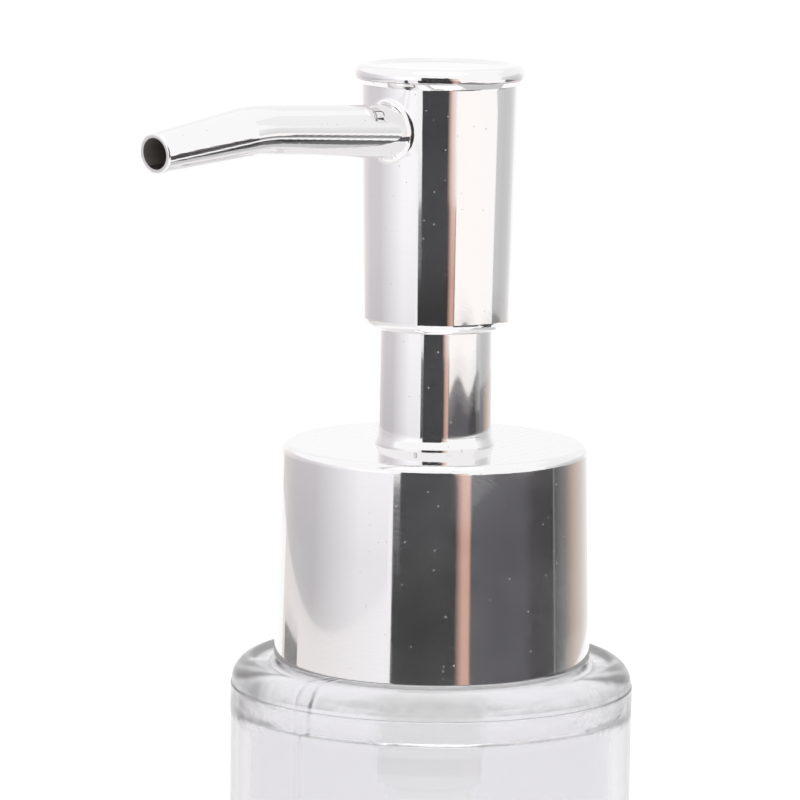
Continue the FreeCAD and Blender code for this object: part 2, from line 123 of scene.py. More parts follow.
def smooth_finish(piece, angle=35):
    nothing_selected()
    piece.select_set(True)
    bpy.context.view_layer.objects.active = piece
    bpy.ops.object.shade_smooth_by_angle(angle=math.radians(angle))
    weighted = piece.modifiers.new("weighted normals", "WEIGHTED_NORMAL")
    weighted.keep_sharp = True
    weighted.weight = 100
    bpy.ops.object.modifier_apply(modifier=weighted.name)


def turned(name, corners, closed=True):
    points = rounded(corners)
    if closed:
        points.append(points[0])
    piece = start_point(name, (points[0].x * mm, 0, points[0].y * mm))
    for before, after in zip(points, points[1:]):
        step = after - before
        if step.length > 1e-4:
            bpy.ops.mesh.extrude_region_move(
                TRANSFORM_OT_translate={"value": (step.x * mm, 0, step.y * mm)})
    bpy.ops.mesh.select_all(action="SELECT")
    bpy.ops.mesh.spin(steps=SPIN_STEPS, angle=2 * math.pi, center=(0, 0, 0), axis=(0, 0, 1))
    bpy.ops.mesh.select_all(action="SELECT")
    bpy.ops.mesh.remove_doubles(threshold=1e-6)
    bpy.ops.mesh.normals_make_consistent(inside=False)
    smooth_finish(piece)
    low, high = piece.bound_box[0], piece.bound_box[6]
    size = [round((b - a) / mm, 2) for a, b in zip(low, high)]
    print(f"{name}: {len(piece.data.polygons)} faces, {size} mm")
    return piece


def finish(piece, material, body, stands_for):
    piece.data.materials.clear()
    piece.data.materials.append(material)
    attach(piece, body)
    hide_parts(*stands_for)


# %% [markdown]
# ## Node helpers
# A finish is a small network of nodes that ends in one Principled shader. Every pattern reads
# Object coordinates, in metres, so it stays in the plastic when the view or the pose changes.

# %% Material helpers


class Finish:
    """A material whose nodes are added one call at a time."""

    def __init__(self, name, **values):
        self.material = bpy.data.materials.new(name)
        self.material.use_nodes = True
        self.tree = self.material.node_tree
        self.shader = self.tree.nodes["Principled BSDF"]
        for socket, value in values.items():
            self.shader.inputs[socket.replace("_", " ")].default_value = value
        self.place = self.node("ShaderNodeTexCoord").outputs["Object"]
        self.bump_above = None

    def node(self, kind, links=None, **settings):
        made = self.tree.nodes.new(kind)
        for key, value in settings.items():
            setattr(made, key, value)
        for socket, value in (links or {}).items():
            if isinstance(value, bpy.types.NodeSocket):
                self.tree.links.new(value, made.inputs[socket])
            else:
                made.inputs[socket].default_value = value
        return made

    def stretched(self, scale, turn=(0, 0, 0)):
        mapping = self.node("ShaderNodeMapping", {"Vector": self.place, "Scale": scale, "Rotation": turn})
        return mapping.outputs["Vector"]

    def noise(self, scale, detail=2.0, stretch=None, distortion=0.0):
        place = self.stretched(stretch) if stretch else self.place
        links = {"Vector": place, "Scale": scale, "Detail": detail, "Distortion": distortion}
        return self.node("ShaderNodeTexNoise", links).outputs["Fac"]

    def spots(self, scale, size):
        """1 inside small round spots, 0 between them. About one cell in three has a spot."""
        cells = self.node("ShaderNodeTexVoronoi", {"Vector": self.place, "Scale": scale})
        chosen = self.math("GREATER_THAN", self.red(cells.outputs["Color"]), 0.66)
        near = self.math("LESS_THAN", cells.outputs["Distance"], size)
        return self.math("MULTIPLY", chosen, near)

    def red(self, colour):
        return self.node("ShaderNodeSeparateColor", {"Color": colour}).outputs["Red"]

    def math(self, operation, a, b=0.0):
        made = self.node("ShaderNodeMath", {0: a, 1: b}, operation=operation)
        return made.outputs["Value"]

    def ramp(self, factor, stops, mode="LINEAR"):
        made = self.node("ShaderNodeValToRGB", {"Fac": factor})
        made.color_ramp.interpolation = mode
        elements = made.color_ramp.elements
        while len(elements) < len(stops):
            elements.new(0.5)
        for element, (position, colour) in zip(elements, stops):
            element.position = position
            grey = isinstance(colour, (int, float))
            element.color = (colour, colour, colour, 1) if grey else (*colour, 1)
        return made.outputs["Color"]

    def mix(self, factor, a, b):
        made = self.node("ShaderNodeMix", {"Factor": factor}, data_type="RGBA")
        for socket, value in ((6, a), (7, b)):
            if isinstance(value, bpy.types.NodeSocket):
                self.tree.links.new(value, made.inputs[socket])
            else:
                made.inputs[socket].default_value = (*value, 1)
        return made.outputs[2]

    def bump(self, height, distance, strength=1.0):
        links = {"Height": height, "Distance": distance, "Strength": strength}
        if self.bump_above:
            links["Normal"] = self.bump_above
        self.bump_above = self.node("ShaderNodeBump", links).outputs["Normal"]

    def set(self, socket, value):
        self.tree.links.new(value, self.shader.inputs[socket])

    def done(self):
        if self.bump_above:
            self.set("Normal", self.bump_above)
        print("finish:", self.material.name, len(self.tree.nodes), "nodes")
        return self.material


# %% [markdown]
# ## Chrome on plastic
# The closure, the sleeve and the head are moulded in plastic, plated, and polished by the mould
# rather than by hand. Flat metal with low roughness looks like a computer drawing, because real
# plating has a faint ripple, hairline wipe marks that show only where something dark is mirrored,
# and dust. So the shader gets a wide bump and a very small one, a roughness and a slight loss of
# metal along the lines, and dull specks. It could be painted by hand, but noise in Object
# coordinates covers every piece at one true scale. Inside the spout's mouth the plating is left
# out, because little of it is laid down in a narrow bore, and the bore's wall gets painted shade:
# a near-black colour, as dark as the inside of a narrow bore looks.

# %% Chrome
CHROME_COLOUR = (0.845, 0.835, 0.84)
DUST_COLOUR = (0.55, 0.54, 0.53)
DUST_SIZE = 0.085
BORE_SHADE_COLOUR = (0.13, 0.115, 0.105)
SPOUT_FALL = 5.8
TIP_HEIGHT = 0.18741
BORE_RADIUS = 0.00226
BORE_DEPTH = 0.015
WIDE_RIPPLE = 0.00006
LINE_DEPTH = 0.0000006


def inside_spout(look):
    """1 on the wall of the spout's bore, which the plating bath hardly reaches and which gets painted shade,
    and 0 elsewhere.
    """
    fall = math.radians(SPOUT_FALL)
    parts = look.node("ShaderNodeSeparateXYZ", {"Vector": look.place}).outputs
    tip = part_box("head_shell")[0].y
    across = look.node("ShaderNodeVectorMath", {
        0: look.place, 1: (0, -math.sin(fall), math.cos(fall))}, operation="DOT_PRODUCT").outputs["Value"]
    level = -math.sin(fall) * tip + math.cos(fall) * TIP_HEIGHT
    away = look.node("ShaderNodeCombineXYZ", {"X": parts["X"], "Y": look.math("SUBTRACT", across, level)})
    radius = look.node("ShaderNodeVectorMath", {0: away.outputs["Vector"]}, operation="LENGTH")
    near = look.math("LESS_THAN", radius.outputs["Value"], BORE_RADIUS)
    return look.math("MULTIPLY", near, look.math("LESS_THAN", parts["Y"], tip + BORE_DEPTH))


def plated(name, ripple, haze, mouth=False):
    look = Finish(name, Metallic=1.0, Roughness=0.03)
    wide = look.noise(38, 1.0)
    look.bump(wide, WIDE_RIPPLE * ripple)
    swirl = look.node("ShaderNodeTexWave", {
        "Vector": look.stretched((1, 1, 3.4), (0.5, 0.35, 0)), "Scale": 560.0, "Distortion": 5.0,
        "Detail": 2.0, "Detail Scale": 0.35}, wave_type="RINGS").outputs["Fac"]
    patches = look.ramp(look.noise(70, 2.0), [(0.3, 0.15), (0.7, 1.0)])
    lines = look.math("MULTIPLY", look.ramp(swirl, [(0.84, 0.0), (0.99, 1.0)]), patches)
    hairs = look.ramp(look.noise(420, 3.0, stretch=(1, 1, 7)), [(0.58, 0.0), (0.74, 1.0)])
    wiped = look.math("ADD", look.math("MULTIPLY", hairs, 0.35), lines)
    look.bump(lines, LINE_DEPTH)
    dust = look.math("ADD", look.spots(820, DUST_SIZE), look.spots(330, DUST_SIZE / 2))
    dust = look.math("MINIMUM", dust, 1.0)
    colour = look.mix(dust, CHROME_COLOUR, DUST_COLOUR)
    dull = look.math("MAXIMUM", look.math("MULTIPLY", dust, 0.55), look.math("MULTIPLY", lines, 0.30 * haze))
    if mouth:
        # The bore's wall loses its metal and gets a near-black colour: painted shade, as dark as a narrow
        # bore looks.
        bare_and_shaded = inside_spout(look)
        colour = look.mix(bare_and_shaded, colour, BORE_SHADE_COLOUR)
        dull = look.math("MAXIMUM", dull, bare_and_shaded)
        dust = look.math("MAXIMUM", dust, bare_and_shaded)
    look.set("Base Color", colour)
    look.set("Metallic", look.math("SUBTRACT", 1.0, dull))
    rough = look.math("ADD", 0.026, look.math("MULTIPLY", wiped, 0.045 * haze))
    rough = look.math("ADD", rough, look.math("MULTIPLY", look.noise(60, 2.0), 0.02))
    look.set("Roughness", look.math("ADD", rough, look.math("MULTIPLY", dust, 0.4)))
    return look.done()


chrome_cap = plated("chrome_closure", 1.0, 1.0)
chrome_neck = plated("chrome_sleeve", 0.7, 0.8)
chrome_head = plated("chrome_head", 0.7, 0.55, mouth=True)

# %% [markdown]
# ## Clear acrylic
# The bottle is a tube with a thick wall and a shoulder piece bonded into it. Clear plastic is
# not colourless in bulk, so a thin tint fills it. The shoulder's colour is lighter than the
# wall's: painted light, for the milky glow that the shoulder shows. The inner wall and the
# shoulder are slightly hazy, which softens what shows through.
# The cement in the joint has thin and thick places: between the two heights of the joint a
# stronger bump breaks the light up, and elsewhere only the slow ripple of the moulding is left.
# The fine upright line, on the spout's side, is where the two halves of the mould met.

# %% Clear plastic
JOINT_LOW = 0.0990
JOINT_HIGH = 0.1050
MOULD_LINE = 0.2495
MOULD_WIDTH = 0.0009
WALL_COLOUR = (0.842, 0.836, 0.855)
LIT_SHOULDER_COLOUR = (0.985, 0.98, 0.99)
TINT = (0.60, 0.58, 0.64)
TINT_DENSITY = 10.0
INNER_WALL = 0.0280
INNER_HAZE = 0.11
SHOULDER_HAZE = 0.19
WALL_RIPPLE = 0.00003
CEMENT_DEPTH = 0.00017
MOULD_DEPTH = 0.0002


def acrylic(name):
    look = Finish(name, IOR=1.49, Transmission_Weight=1.0)
    look.bump(look.noise(26, 1.0), WALL_RIPPLE)
    height = look.node("ShaderNodeSeparateXYZ", {"Vector": look.place}).outputs["Z"]
    level = look.node("ShaderNodeMapRange", {
        "Value": height, "From Min": JOINT_LOW, "From Max": JOINT_HIGH}).outputs["Result"]
    # Painted light: above the joint the colour turns lighter, for the milky glow of the shoulder.
    look.set("Base Color", look.mix(level, WALL_COLOUR, LIT_SHOULDER_COLOUR))
    band = look.ramp(level, [(0.0, 0.0), (0.2, 1.0), (0.86, 1.0), (1.0, 0.15)])
    cement = look.noise(150, 3.0, stretch=(1, 1, 2.2), distortion=0.6)
    look.bump(look.math("MULTIPLY", cement, band), CEMENT_DEPTH)
    around = look.node("ShaderNodeTexGradient", {"Vector": look.place}, gradient_type="RADIAL")
    seam = look.ramp(around.outputs["Fac"], [
        (MOULD_LINE - MOULD_WIDTH, 0.0), (MOULD_LINE, 1.0), (MOULD_LINE + MOULD_WIDTH, 0.0)])
    look.bump(seam, MOULD_DEPTH)
    radius = look.node("ShaderNodeVectorMath", {0: look.stretched((1, 1, 0))}, operation="LENGTH")
    inside = look.math("LESS_THAN", radius.outputs["Value"], INNER_WALL)
    above = look.ramp(level, [(0.0, 0.0), (0.3, SHOULDER_HAZE)])
    hazy = look.math("MAXIMUM", look.math("MULTIPLY", inside, INNER_HAZE), above)
    look.set("Roughness", look.math("ADD", hazy, 0.012))
    tint = look.node("ShaderNodeVolumeAbsorption", {"Color": (*TINT, 1), "Density": TINT_DENSITY})
    out = look.tree.nodes["Material Output"]
    look.tree.links.new(tint.outputs["Volume"], out.inputs["Volume"])
    return look.done()


clear = acrylic("clear_acrylic")

# %% [markdown]
# ## The plain plastics, the foam, the steel
# The pump inside is natural polypropylene, which lets light through like thin milk, and the
# parts hidden under the plating are white. Both have the fine grain of a spark-eroded mould.
# They could be left flat, since little of them shows, but they are seen through the clear
# bottle and from below, so they get grain and a slow change of tone. The delivery tube in the
# spout gets painted shade: a dark colour, as dark as the inside of a narrow tube looks.

# %% Other finishes


def moulded(name, colour, through, roughness, grain):
    look = Finish(name, IOR=1.49, Transmission_Weight=through, Roughness=roughness)
    tone = look.ramp(look.noise(45, 2.0), [(0.3, 0.0), (0.7, 1.0)])
    darker = tuple(c * 0.95 for c in colour)
    look.set("Base Color", look.mix(tone, darker, colour))
    fine = look.noise(2600, 2.0)
    look.bump(fine, grain)
    flow = look.noise(90, 2.0, stretch=(1, 1, 0.25))
    look.bump(flow, 0.00002)
    look.set("Roughness", look.math("ADD", roughness - 0.05, look.math("MULTIPLY", fine, 0.1)))
    return look.done()


def foam(name):
    look = Finish(name, Roughness=0.85)
    cells = look.node("ShaderNodeTexVoronoi", {"Vector": look.place, "Scale": 2400.0})
    # Painted shade: the foam is darker in the middle of each cell, where the bump sinks into a pore.
    look.set("Base Color", look.ramp(cells.outputs["Distance"], [
        (0.0, (0.62, 0.62, 0.60)), (0.6, (0.86, 0.86, 0.84))]))
    look.bump(cells.outputs["Distance"], 0.00008)
    return look.done()


def steel(name, colour, roughness, drawn):
    look = Finish(name, Metallic=1.0)
    marks = look.noise(700, 3.0, stretch=(1, 1, drawn))
    look.set("Base Color", look.mix(marks, tuple(c * 0.85 for c in colour), colour))
    look.set("Roughness", look.math("ADD", roughness, look.math("MULTIPLY", marks, 0.12)))
    look.bump(marks, 0.000004)
    return look.done()


white = moulded("white_polypropylene", (0.88, 0.88, 0.865), 0.0, 0.42, 0.000012)
natural = moulded("natural_polypropylene", (0.98, 0.985, 0.985), 0.12, 0.36, 0.000010)
gasket = foam("gasket_foam")
spring_steel = steel("spring_steel", (0.62, 0.61, 0.60), 0.18, 0.1)
ball_steel = steel("ball_steel", (0.70, 0.70, 0.71), 0.08, 1.0)
# Painted shade: the delivery tube in the spout is coloured dark, as the inside of a narrow tube looks.
bore_painted_shade = moulded("shaded_bore", (0.24, 0.215, 0.20), 0.0, 0.75, 0.000010)

finishes = {
    "chromed_plastic": chrome_head, "clear_plastic": clear, "white_plastic": white,
    "natural_plastic": natural, "soft_gasket": gasket, "spring_steel": spring_steel,
    "ball_steel": ball_steel,
}
for name, node in nodes.items():
    node.data.materials.clear()
    node.data.materials.append(bore_painted_shade if name == "nozzle_liner" else finishes[slot_of[name]])
print("finishes on", len(nodes), "nodes")

# %% [markdown]
# ## The bottle
# The body tube and the shoulder are two mouldings, cemented so well that the joint no longer
# mirrors light: what is left of it is a fine groove outside and the lower edge of the spigot
# inside. Two shells with an air gap would show a hard dark ring there. So the bottle is turned
# as one wall, with the groove and the spigot's edge in its outline. It casts no shadow and is
# not seen by scattered light, because light really passes through it to the parts inside.

# %% Turn the bottle
body_low, body_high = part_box("bottle_body")
shoulder_low, shoulder_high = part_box("bottle_shoulder")
BOTTLE_R = body_high.x / mm
SEAM = body_high.z / mm
NECK_TOP = shoulder_high.z / mm
SPIGOT = shoulder_low.z / mm
SHOULDER_R = BOTTLE_R - 0.15
SHOULDER = 108.0
NECK_R = 12.7
NECK_BORE = 10.8
BORE = BOTTLE_R - 3.0
SPIGOT_BORE = BORE - 2.65
GROOVE = 0.22
FLOOR_TOP = 4.5
FOOT_HOLLOW = 0.35

bottle = turned("clear_bottle", [
    (0, FOOT_HOLLOW),
    (BOTTLE_R - 9, FOOT_HOLLOW, 2.0),
    (BOTTLE_R - 6, 0, 1.0),
    (BOTTLE_R, 0, 2.0),
    (BOTTLE_R, SEAM - GROOVE / 2, 0.12),
    (BOTTLE_R - GROOVE, SEAM, 0.05),
    (SHOULDER_R, SEAM + GROOVE / 2, 0.12),
    (SHOULDER_R, SHOULDER, 3.4),
    (NECK_R, SHOULDER, 0.5),
    (NECK_R, NECK_TOP, 0.4),
    (NECK_BORE, NECK_TOP, 0.4),
    (NECK_BORE, SHOULDER - 3.0, 0.5),
    (SPIGOT_BORE, SHOULDER - 3.0, 2.4),
    (SPIGOT_BORE, SPIGOT, 0.35),
    (BORE, SPIGOT, 0.3),
    (BORE, FLOOR_TOP, 2.5),
    (0, FLOOR_TOP),
], closed=False)
finish(bottle, clear, "bottle", ["bottle_body", "bottle_shoulder"])
bottle.visible_shadow = bottle.visible_diffuse = False

# %% [markdown]
# ## The thread on the neck
# The closure screws onto one and a half turns of a trapezoid ridge. It could be cut from the
# CAD part, but a Screw modifier makes it in one step from the ridge's own section.

# %% Neck thread
THREAD_PITCH = 25.4 / 6
THREAD_START = NECK_TOP - 9.5


def wound(name, section, pitch, turns, steps):
    """A closed section in the XZ plane, wound upwards about Z with a Screw modifier."""
    piece = start_point(name, (section[0][0] * mm, 0, section[0][1] * mm))
    for before, after in zip(section, section[1:] + section[:1]):
        move = ((after[0] - before[0]) * mm, 0, (after[1] - before[1]) * mm)
        bpy.ops.mesh.extrude_region_move(TRANSFORM_OT_translate={"value": move})
    bpy.ops.mesh.select_all(action="SELECT")
    bpy.ops.mesh.remove_doubles(threshold=1e-6)
    bpy.ops.object.mode_set(mode="OBJECT")
    screw = piece.modifiers.new("screw", "SCREW")
    screw.angle = 2 * math.pi * turns
    screw.screw_offset = pitch * turns * mm
    screw.steps = screw.render_steps = steps
    screw.use_merge_vertices = False
    bpy.ops.object.modifier_apply(modifier=screw.name)
    bpy.ops.object.mode_set(mode="EDIT")
    bpy.ops.mesh.select_all(action="DESELECT")
    bpy.ops.mesh.select_non_manifold()
    bpy.ops.mesh.edge_face_add()
    bpy.ops.mesh.select_all(action="SELECT")
    bpy.ops.mesh.normals_make_consistent(inside=False)
    smooth_finish(piece)
    print(f"{name}: {len(piece.data.polygons)} faces")
    return piece


thread = wound("neck_thread", [
    (NECK_R + 0.02, THREAD_START - 1.1), (NECK_R + 1.05, THREAD_START - 0.6),
    (NECK_R + 1.05, THREAD_START + 0.6), (NECK_R + 0.02, THREAD_START + 1.1),
], THREAD_PITCH, 1.5, 144)
finish(thread, clear, "bottle", ["bottle_shoulder"])
thread.visible_shadow = thread.visible_diffuse = False

# %% [markdown]
# ## The closure
# A straight shroud with a slight draft, a small rounded top edge and a flat top. Its mirrored
# stripes are only as straight as its wall, so it is turned and not taken from the CAD mesh.

# %% Closure shroud
shroud_low, shroud_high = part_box("closure_shroud")
SHROUD_R = shroud_high.x / mm
SHROUD_Z = shroud_low.z / mm
SHROUD_TOP = shroud_high.z / mm
DRAFT = 0.84
SPIGOT_HOLE = 8.0

shroud = turned("closure_skin", [
    (SHROUD_R, SHROUD_Z, 0.25),
    (SHROUD_R - DRAFT, SHROUD_TOP, 1.3),
    (SPIGOT_HOLE, SHROUD_TOP),
    (SPIGOT_HOLE, SHROUD_TOP - 1.5),
    (SHROUD_R - DRAFT - 1.5, SHROUD_TOP - 1.5, 0.75),
    (SHROUD_R - 1.5, SHROUD_Z, 0.25),
])
finish(shroud, chrome_cap, "closure", ["closure_shroud"])

# %% [markdown]
# ## The neck sleeve
# A thin tube that stands on the closure. It flares out at its foot in a hollow curve, which
# catches a bright ring just above the mirror of the flat top. Below the top it is stepped in.

# %% Neck sleeve
sleeve_low, sleeve_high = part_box("neck_sleeve")
SLEEVE_R = 8.3
FOOT_R = sleeve_high.x / mm
SLEEVE_WALL = 0.8
HOLE_R = 7.95
LINING_R = 7.15

sleeve = turned("neck_sleeve_skin", [
    (LINING_R, sleeve_low.z / mm),
    (HOLE_R, sleeve_low.z / mm),
    (HOLE_R, SHROUD_TOP),
    (FOOT_R, SHROUD_TOP),
    (FOOT_R, SHROUD_TOP + 0.18, 0.08),
    (SLEEVE_R + 0.14, SHROUD_TOP + 1.4, 2.2),
    (SLEEVE_R, sleeve_high.z / mm, 0.4),
    (SLEEVE_R - SLEEVE_WALL, sleeve_high.z / mm),
    (SLEEVE_R - SLEEVE_WALL, SHROUD_TOP),
    (LINING_R, SHROUD_TOP - 1.5),
])
finish(sleeve, chrome_neck, "closure", ["neck_sleeve"])

# %% [markdown]
# ## The head's lid
# The top of the head is a separate pressed-in lid. Its bead has a broad dome, overhangs the
# body, and meets a cone below it in a thin seam. Inside the bead is a shallow dish for the thumb.

# %% Head lid
cap_low, cap_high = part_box("head_cap")
RIM_R = cap_high.x / mm
HEAD_TOP = cap_high.z / mm
RIM_Z = HEAD_TOP - 2.25
PLUG_R = 9.17
SKIRT_R = 11.60
SKIRT_Z = HEAD_TOP - 2.9

lid = turned("head_lid", [
    (0, RIM_Z),
    (PLUG_R - 1.3, RIM_Z),
    (PLUG_R - 1.3, cap_low.z / mm),
    (PLUG_R, cap_low.z / mm),
    (PLUG_R, RIM_Z),
    (SKIRT_R - 0.6, RIM_Z),
    (SKIRT_R - 0.6, SKIRT_Z),
    (SKIRT_R, SKIRT_Z, 0.1),
    (RIM_R - 0.31, RIM_Z + 0.12, 0.06),
    (RIM_R - 0.47, RIM_Z + 0.2),
    (RIM_R - 0.06, RIM_Z + 0.26, 0.12),
    (RIM_R, HEAD_TOP - 1.5, 0.3),
    (RIM_R - 0.1, HEAD_TOP, 1.35),
    (RIM_R - 2.0, HEAD_TOP, 0.35),
    (RIM_R - 3.0, HEAD_TOP - 0.35, 1.1),
    (0, HEAD_TOP - 0.6),
], closed=False)
finish(lid, chrome_head, "head", ["head_cap"])

# %% [markdown]
# ## The return spring
# A real compression spring has a closed turn at each end so that it stands square. A plain
# helix has open ends. Three Screw modifiers on the same wire section, one after the other, give
# the closed ends and the open middle, and the three are joined into one piece.

# %% Return spring
spring_low, spring_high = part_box("return_spring")
WIRE = 0.4
COIL_R = spring_high.x / mm - WIRE
CLOSED_PITCH = 2 * WIRE + 0.04
OPEN_TURNS = 7
SIDES = 12


def wire_section(z):
    return [(COIL_R + WIRE * math.cos(2 * math.pi * k / SIDES),
             z + WIRE * math.sin(2 * math.pi * k / SIDES)) for k in range(SIDES)]


bottom = spring_low.z / mm + WIRE
top = spring_high.z / mm - WIRE
open_length = top - bottom - 2 * CLOSED_PITCH
COIL_STEPS = 40
parts = [wound(name, wire_section(start), pitch, turns, COIL_STEPS) for name, start, pitch, turns in (
    ("spring_foot", bottom, CLOSED_PITCH, 1),
    ("return_spring_coil", bottom + CLOSED_PITCH, open_length / OPEN_TURNS, OPEN_TURNS),
    ("spring_head", top - CLOSED_PITCH, CLOSED_PITCH, 1))]
nothing_selected()
for part in parts:
    part.select_set(True)
spring = parts[1]
bpy.context.view_layer.objects.active = spring
bpy.ops.object.join()
spring.data.materials.clear()
spring.data.materials.append(spring_steel)
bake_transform(spring)
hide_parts("return_spring")
print("spring:", len(spring.data.polygons), "faces")

# %% [markdown]
# ## The camera
# A long lens from a little above the shoulder keeps the upright lines nearly parallel, as in a
# catalogue picture. It could be aimed with a constraint, but its three directions are also what
# the cards below are placed by, so they are worked out once and kept.

# %% Camera
VIEW_AZIMUTH = math.radians(42)
VIEW_HEIGHT = math.radians(8.45)
VIEW_ROLL = math.radians(0.75)
VIEW_DISTANCE = 0.757
AIM_HEIGHT = 0.1468
AIM_LEFT = 0.00522

ahead = Vector((math.sin(VIEW_AZIMUTH), -math.cos(VIEW_AZIMUTH), 0))
right = Vector((math.cos(VIEW_AZIMUTH), math.sin(VIEW_AZIMUTH), 0))
back = ahead * math.cos(VIEW_HEIGHT) + Vector((0, 0, math.sin(VIEW_HEIGHT)))
up = back.cross(right)
tilted_right = right * math.cos(VIEW_ROLL) + up * math.sin(VIEW_ROLL)
tilted_up = up * math.cos(VIEW_ROLL) - right * math.sin(VIEW_ROLL)
aim = Vector((0, 0, AIM_HEIGHT)) - right * AIM_LEFT

nothing_selected()
bpy.ops.object.camera_add()
camera = bpy.context.object
camera.matrix_world = Matrix.Translation(aim + back * VIEW_DISTANCE) @ Matrix(
    (tilted_right, tilted_up, back)).transposed().to_4x4()
camera.data.lens = 229.5
camera.data.sensor_width = 36
camera.data.clip_start = 0.01
camera.data.clip_end = 50
bpy.context.scene.camera = camera
print("camera at", [round(v, 3) for v in camera.location])

# %% [markdown]
# ## The room
# Chrome has no look of its own: it shows the room. The room here is a white tent with a few
# glowing cards, as a studio would hang them. Each card is a bent sheet with a few plain colours
# from side to side. Only reflections see most of them, so the floor and the clear bottle keep
# the plain light of the tent. A panorama could do this too, but cards can be moved one by one.
# Most of them share a short list of colours.

# %% Reflection cards
CARD_FACES = 48
EVEN = ((0.0, 1.0), (1.0, 1.0))
DARK = (0.05, 0.05, 0.053)
SLATE = (0.11, 0.107, 0.118)
NEAR_BLACK = (0.07, 0.066, 0.069)
GREY = (0.67, 0.65, 0.67)
COPPER = (0.86, 0.53, 0.42)
PEACH = (0.88, 0.64, 0.57)
BROWN = (0.55, 0.44, 0.37)
WARM = (0.87, 0.82, 0.79)
BLUSH = (1.0, 0.92, 0.89)
WHITE = (1.03, 1.02, 1.04)
GROUND = 0.002
WAVE_START = 20
WAVE_LENGTH = 50


def glow(name, start, stop, stops, levels, through):
    """Light whose colour follows the azimuth round the object, from start to stop in degrees.

    levels gives its strength by height, in metres. Unless through is set, rays that have passed
    the clear bottle miss it."""
    look = Finish(name)
    look.tree.nodes.remove(look.shader)
    across = look.node("ShaderNodeVectorMath", {0: look.place, 1: right}, operation="DOT_PRODUCT")
    along = look.node("ShaderNodeVectorMath", {0: look.place, 1: ahead}, operation="DOT_PRODUCT")
    angle = look.node("ShaderNodeMath", {0: across.outputs["Value"], 1: along.outputs["Value"]},
                      operation="ARCTAN2").outputs["Value"]
    share = look.node("ShaderNodeMapRange", {
        "Value": angle, "From Min": math.radians(start), "From Max": math.radians(stop)})
    colour = look.ramp(share.outputs["Result"], [
        ((azimuth - start) / (stop - start), c) for azimuth, c in stops])
    low, high = levels[0][0], levels[-1][0]
    height = look.node("ShaderNodeSeparateXYZ", {"Vector": look.place}).outputs["Z"]
    rise = look.node("ShaderNodeMapRange", {"Value": height, "From Min": low, "From Max": high})
    strength = look.ramp(rise.outputs["Result"], [((z - low) / (high - low), v) for z, v in levels])
    shown = look.node("ShaderNodeEmission", {"Color": colour, "Strength": strength}).outputs["Emission"]
    if not through:
        path = look.node("ShaderNodeLightPath")
        inside = look.math("GREATER_THAN", path.outputs["Transmission Depth"], 0.5)
        nothing = look.node("ShaderNodeBsdfTransparent").outputs["BSDF"]
        chosen = look.node("ShaderNodeMixShader", {0: inside, 1: shown, 2: nothing})
        shown = chosen.outputs["Shader"]
    look.tree.links.new(shown, look.tree.nodes["Material Output"].inputs["Surface"])
    return look.material


def card(name, lower, upper, stops, levels=EVEN, through=False, sag=0.0, wave=0.0):
    """A bent sheet round the object, from the first stop's azimuth to the last one's.

    lower and upper are the radius and the height of its two edges. The lower edge can sag in the
    middle, as the foot of a straight wall does, and the upper edge can wave."""
    start, stop = stops[0][0], stops[-1][0]
    nothing_selected()
    bpy.ops.mesh.primitive_grid_add(x_subdivisions=CARD_FACES, y_subdivisions=1, size=1)
    sheet = bpy.context.object
    sheet.name = name
    for vertex in sheet.data.vertices:
        share = vertex.co.x + 0.5
        azimuth = start + (stop - start) * share
        way = ahead * math.cos(math.radians(azimuth)) + right * math.sin(math.radians(azimuth))
        if vertex.co.y < 0:
            reach, level = lower[0], lower[1] - sag * math.sin(math.pi * share)
        else:
            swing = math.sin(math.pi * (azimuth - WAVE_START) / WAVE_LENGTH)
            reach, level = upper[0], upper[1] + wave * swing * swing
        vertex.co = way * reach + Vector((0, 0, level))
    sheet.data.materials.append(glow(name, start, stop, stops, levels, through))
    sheet.visible_camera = sheet.visible_diffuse = sheet.visible_shadow = False
    sheet.visible_glossy = not through
    sheet.visible_transmission = through
    print("card", name, start, "to", stop)


def lying(name, near, far, stops, levels=EVEN):
    """A card on the ground between two radii."""
    card(name, (near, GROUND), (far, GROUND), stops, levels)


# %% [markdown]
# ## The flag and the strip beside it
# A black flag in front gives each mirror its dark middle, which makes it read as metal. It has
# a level top, and its dark colour runs on over the ground. A warm strip hangs at its right edge.

# %% Dark flag and warm strip
lying("flag_ground", 0.45, 1.0, [(-30, 0.04), (14, 0.04)])
card("flag_foot", (1.0, 0.0), (1.0, 0.03), [(-30, DARK), (14, DARK)], levels=[(0.0, 1.1), (0.03, 1.35)])
card("dark_flag", (1.0, 0.03), (1.0, 0.5), [(-25, DARK), (12.5, DARK)],
     levels=[(0.03, 1.35), (0.09, 1.0), (0.5, 1.0)])
copper = [(14, DARK), (15.5, DARK), (21, COPPER), (25.5, COPPER), (27.5, DARK)]
lying("warm_strip_low", 0.45, 1.0, copper, levels=[(0.0, 0.8), (1.0, 0.8)])
card("warm_strip_foot", (1.0, 0.0), (1.0, 0.03), copper, levels=[(0.0, 0.66), (0.03, 0.95)])
card("warm_strip", (1.0, 0.03), (1.0, 0.42), [(12.5, DARK), (19, PEACH), (25, BLUSH)])

# %% [markdown]
# ## The wall on the left
# A matt wall, grey in the middle, a little warm at its far end, and white where it nears the
# flag. It keeps the left of every mirror from being blank. Warm ground lies before it.

# %% Grey wall and its ground
card("grey_wall", (0.62, 0.04), (0.62, 0.36), [
    (-152, WARM), (-125, GREY), (-98, GREY), (-55, WHITE), (-33, WHITE)],
    levels=[(0.0, 0.86), (0.045, 0.87), (0.085, 1.08), (0.36, 1.25)], sag=0.02)
lying("warm_ground", 0.25, 1.3, [(-140, WARM), (-31, WHITE)])
card("far_thing", (0.60, -0.002), (0.60, 0.012), [(-135, 0.16), (-114, 0.135)])

# %% [markdown]
# ## The board on the right
# A low dark board, whose waving top leaves bright streaks on the neck. A second one stands close
# to the bottle, so that the spout mirrors it as a thin line.

